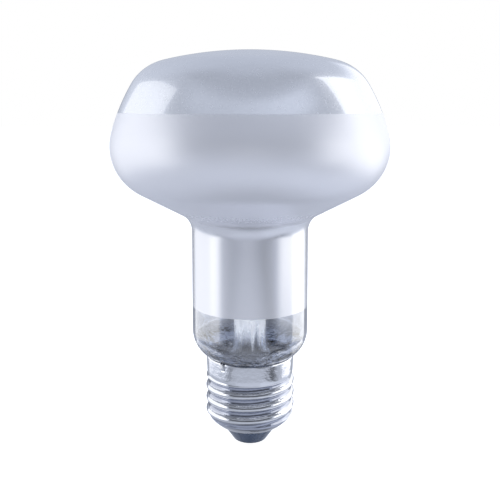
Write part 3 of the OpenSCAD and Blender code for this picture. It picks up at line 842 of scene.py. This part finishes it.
def side_solder():
    """A flattened drop that fills the notch and stands out of it a little."""
    rings, sides, fullness = 14, 24, 0.6
    out = Vector((cos(NOTCH_A), sin(NOTCH_A), 0))
    across = Vector((-sin(NOTCH_A), cos(NOTCH_A), 0))
    centre = out * (RIM_R - 0.02) + Vector((0, 0, CAP_H - 0.95))
    verts, faces = [], []
    for i in range(rings + 1):
        t = 180 * i / rings
        for k in range(sides if 0 < i < rings else 1):
            a = 360 * k / sides
            d = Vector((sin(t) * cos(a), sin(t) * sin(a), cos(t)))
            lump = 1 + 0.10 * noise.noise(d * 1.7 + Vector((3, 1, 2)))
            depth = DROP_OUT if d.x > 0 else DROP_IN
            verts.append(centre + (out * d.x * depth + across * bent(d.y, fullness) * DROP_W
                                   + Vector((0, 0, bent(d.z, fullness) * DROP_H))) * lump)
    pairs = [(k, (k + 1) % sides) for k in range(sides)]
    faces += [(0, 1 + k, 1 + n) for k, n in pairs]
    for i in range(1, rings - 1):
        a = 1 + (i - 1) * sides
        faces += [(a + k, a + sides + k, a + sides + n, a + n) for k, n in pairs]
    a = 1 + (rings - 2) * sides
    faces += [(a + n, a + k, a + sides) for k, n in pairs]
    return make("side_solder", verts, faces, [SOLDER], "solder", ["side_solder"])


for build in (bulb, liner, stem, exhaust, side_lead, centre_lead, screw_shell, cement_ring,
              insulator, contact, centre_solder, side_solder):
    build()

INSIDE = {"arbor_rod": STEM, "filament": TUNGSTEN, "inner_lead_left": NICKEL,
          "inner_lead_right": NICKEL, "seal_wire_left": COPPER, "seal_wire_right": COPPER,
          "support_wire_1": TUNGSTEN, "support_wire_2": TUNGSTEN, "support_wire_3": TUNGSTEN}
for name, mat in INSIDE.items():
    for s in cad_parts[name].material_slots:
        s.material = mat


# ---------------------------------------------------------------- floor, light and camera

# what gloss and glass see of the studio: grey by elevation, in front and behind
AHEAD = [(-90, 0.18), (-78, 0.25), (-60, 0.54), (-44, 0.63), (-32, 0.60), (-24, 0.48),
         (-12, 0.51), (0, 0.15), (24, 0.12), (34, 0.18), (50, 0.25), (58, 0.15), (66, 0.19),
         (80, 0.31), (90, 0.36)]
BEHIND = [(-90, 0.18), (-60, 0.36), (-46, 0.42), (-30, 0.58), (-21, 0.46), (-10, 0.25),
          (2, 0.38), (12, 0.57), (34, 0.51), (60, 0.45), (80, 0.37), (90, 0.36)]
BESIDE = (70, 140)          # azimuths between which the front turns into the back
# strip over the camera: elevations of its soft edges, azimuths where it fades at both ends,
# azimuths between which its level changes, and the two levels
STRIP_FOOT, STRIP_TOP, STRIP_FADE = (34, 40), (46, 53), (50, 85)
STRIP_TURN, STRIP = (-30, 40), (0.23, 0.54)
# dark gaps: azimuth as far down as GAP_DOWN, its change with elevation, width, depth
GAPS = [(33, 2.6, 11, 0.84), (-36, -2.0, 9, 0.45)]
GAP_DOWN, GAP_TOP = 15.0, (-2, 8)
# Soft boxes: side, azimuth that the plane faces, far edge as a slope in that plane, and parts.
# A part: near edge and top as slopes, foot as an elevation, softness of the edges, level.
# The first part of the two large boxes is the table that they light.
BOXES = [(-1, 71.8, 2.6, [(-0.6, -0.70, -60, 0.12, 0.52), (-0.19, 0.50, -22, 0.12, 1.42),
                          (0.216, 0.941, -22, 0.02, 1.15)]),
         (1, 61.0, 4.0, [(-0.6, -0.70, -62, 0.12, 0.70), (-0.06, 0.50, -18, 0.15, 1.30),
                         (0.62, 1.544, -24, 0.02, 1.65)]),
         (1, 125.0, 0.75, [(-0.2, 0.60, -3, 0.20, 1.25)])]
FOOT_SOFTNESS = 6
ROOM_TINT, BOX_TINT, BOX_LEVEL = (0.90, 0.965, 1.125), (0.985, 0.995, 1.015), (0.8, 1.2)
EVEN = (0.58, 0.628, 0.745)

# lamps for what is dull, in metres: place, aim, size, level
PANELS = {"box_left": ((-0.40, 0.10, 0.16), (0, 0, 0.07), (0.45, 0.40), 1.9),
          "box_right": ((0.40, 0.12, 0.18), (0, 0, 0.07), (0.45, 0.45), 1.9),
          "front_fill": ((0, -0.50, 0.07), (0, 0, 0.04), (0.30, 0.24), 3.0)}
STEM_LIGHT = ((0, -0.45, 0.09), (0, 0, 0.036), 0.031, 0.66)
FLOOR_HALF, FLOOR_GLOW = 3, 0.75

CAMERA_PLACE, CAMERA_TILT = (0, -0.205, 0.1007), 6.06
CAMERA_SHIFT = -0.14
SENSOR, PICTURE, FOCAL = 36, 500, 707.3     # sensor in mm, the others in pixels


def floor():
    h = FLOOR_HALF
    mesh = bpy.data.meshes.new("floor")
    mesh.from_pydata([(-h, -h, 0), (h, -h, 0), (h, h, 0), (-h, h, 0)], [], [(0, 1, 2, 3)])
    piece = bpy.data.objects.new("floor", mesh)
    bpy.context.scene.collection.objects.link(piece)
    s = Shader("floor", Roughness=0.9, Specular_IOR_Level=0.0)
    s.set("Base Color", s.blend(s.noise(3, 2), (0.70, 0.72, 0.76), (0.72, 0.74, 0.78)))
    path = s.node("ShaderNodeLightPath")
    glow = s.node("ShaderNodeEmission")
    add = s.node("ShaderNodeAddShader")
    s.link(s.times(path.outputs["Is Camera Ray"], FLOOR_GLOW), glow.inputs["Strength"])
    s.link(s.bsdf.outputs[0], add.inputs[0])
    s.link(glow.outputs[0], add.inputs[1])
    s.link(add.outputs[0], s.out.inputs["Surface"])
    mesh.materials.append(s.mat)
    piece.visible_glossy = piece.visible_transmission = False


def hang(data, place, aim):
    """Puts up a lamp that lights what isn't shiny; what gloss sees of it is in the surroundings."""
    lamp = bpy.data.objects.new(data.name, data)
    lamp.location = place
    lamp.rotation_mode = "QUATERNION"
    lamp.rotation_quaternion = (Vector(aim) - Vector(place)).to_track_quat("-Z", "Y")
    lamp.visible_camera = lamp.visible_glossy = lamp.visible_transmission = False
    bpy.context.scene.collection.objects.link(lamp)


def panel(name, place, aim, size, level):
    """A soft box, as bright as level."""
    data = bpy.data.lights.new(name, "AREA")
    data.shape, data.size, data.size_y = "RECTANGLE", size[0], size[1]
    data.energy = level * math.pi * size[0] * size[1]
    hang(data, place, aim)


def beam(name, place, aim, width, level):
    """A narrow beam with a soft edge, at whose middle a white surface shows level."""
    data = bpy.data.lights.new(name, "SPOT")
    reach = (Vector(aim) - Vector(place)).length
    data.spot_size, data.spot_blend = 2 * atan2(width / 2, reach), 0.6
    data.shadow_soft_size = 0.02
    data.energy = level * 4 * math.pi ** 2 * reach ** 2
    hang(data, place, aim)


def walls(g, up, aside):
    """The studio's walls and floor as one grey."""
    height = g.span(up, -90, 90, 0, 1)
    ahead, behind = (g.ramp(height, [((el + 90) / 180, level) for el, level in part])
                     for part in (AHEAD, BEHIND))
    front = g.span(aside, *BESIDE, 1.0, 0.0, smooth=True)
    return g.math("ADD", g.times(ahead, front), g.times(g.math("SUBTRACT", 1.0, front), behind))


def with_strip(g, room, up, turn, aside):
    """Adds the strip over the camera, brighter towards the right."""
    strip = g.times(g.span(up, *STRIP_FOOT, 0, 1, smooth=True),
                    g.span(up, *STRIP_TOP, 1, 0, smooth=True),
                    g.span(aside, *STRIP_FADE, 1, 0, smooth=True),
                    g.span(turn, *STRIP_TURN, *STRIP, smooth=True))
    return g.math("ADD", room, strip)


def with_gaps(g, room, up, turn):
    """Darkens bands between the camera's side and the soft boxes, low down."""
    low = g.span(up, *GAP_TOP, 1, 0, smooth=True)
    for start, slope, width, depth in GAPS:
        middle = g.math("ADD", g.times(g.math("ADD", up, GAP_DOWN), -slope), start)
        off = g.math("DIVIDE", g.math("SUBTRACT", turn, middle), width)
        bell = g.math("EXPONENT", g.times(off, off, -1.0))
        room = g.times(room, g.math("SUBTRACT", 1.0, g.times(bell, low, depth)))
    return room


def with_box(g, room, x, y, z, up, side, facing, last, parts):
    """Adds a soft box: a plane with an upright side edge and a level top edge."""
    nx, ny = side * sin(facing), -cos(facing)
    depth = g.math("ADD", g.times(x, nx), g.times(y, ny))
    seen = g.span(depth, 0.01, 0.05, 0, 1)
    depth = g.math("MAXIMUM", depth, 0.001)
    along = g.math("ADD", g.times(x, -side * ny), g.times(y, side * nx))
    along = g.math("DIVIDE", along, depth)
    rise = g.math("DIVIDE", z, depth)
    seen = g.times(seen, g.span(along, last * 0.9, last * 1.1, 1, 0, smooth=True))
    for start, top, foot, edge, level in parts:
        box = g.times(g.span(along, start - edge, start + edge, 0, 1, smooth=True),
                      g.span(rise, top - edge, top + edge, 1, 0, smooth=True),
                      g.span(up, foot - FOOT_SOFTNESS, foot + FOOT_SOFTNESS, 0, 1, smooth=True),
                      seen)
        room = g.math("ADD", g.times(room, g.math("SUBTRACT", 1.0, box)), g.times(box, level))
    return room


def surroundings():
    """White to the camera, an even light to what is dull, and a grey studio to gloss and glass."""
    world = bpy.data.worlds.new("studio")
    bpy.context.scene.world = world
    world.use_nodes = True
    world.cycles.sampling_method = "NONE"
    g = Graph(world.node_tree)
    g.tree.nodes.clear()
    split = g.node("ShaderNodeSeparateXYZ")
    g.link(g.node("ShaderNodeTexCoord").outputs["Generated"], split.inputs[0])
    x, y, z = split.outputs
    up = g.times(g.math("ARCSINE", z), 180 / math.pi)
    turn = g.times(g.math("ARCTAN2", x, g.times(y, -1.0)), 180 / math.pi)
    aside = g.math("ABSOLUTE", turn)

    room = with_strip(g, walls(g, up, aside), up, turn, aside)
    room = with_gaps(g, room, up, turn)
    for box in BOXES:
        room = with_box(g, room, x, y, z, up, *box)

    studio = g.node("ShaderNodeMix", data_type="RGBA", blend_type="MULTIPLY")
    studio.inputs["Factor"].default_value = 1.0
    g.link(room, studio.inputs["A"])
    g.link(g.blend(g.span(room, *BOX_LEVEL, 0, 1), ROOM_TINT, BOX_TINT), studio.inputs["B"])

    even, seen, white = (g.node("ShaderNodeBackground") for _ in range(3))
    even.inputs["Color"].default_value = (*EVEN, 1)
    g.link(studio.outputs["Result"], seen.inputs["Color"])
    white.inputs["Color"].default_value = (1, 1, 1, 1)
    path = g.node("ShaderNodeLightPath").outputs
    gloss = g.math("MAXIMUM", path["Is Glossy Ray"], path["Is Transmission Ray"])
    light = g.choose(gloss, even.outputs[0], seen.outputs[0])
    light = g.choose(path["Is Camera Ray"], light, white.outputs[0])
    g.link(light, g.node("ShaderNodeOutputWorld").inputs["Surface"])


def camera():
    data = bpy.data.cameras.new("camera")
    data.sensor_width, data.lens = SENSOR, FOCAL / PICTURE * SENSOR
    data.shift_y = CAMERA_SHIFT
    data.clip_start, data.clip_end = 0.005, 20
    cam = bpy.data.objects.new("camera", data)
    cam.location = CAMERA_PLACE
    cam.rotation_euler = (math.radians(90 - CAMERA_TILT), 0, 0)
    bpy.context.scene.collection.objects.link(cam)
    bpy.context.scene.camera = cam


floor()
for name, how in PANELS.items():
    panel(name, *how)
beam("stem_light", *STEM_LIGHT)
surroundings()
camera()
bpy.context.scene.view_settings.view_transform = "Standard"
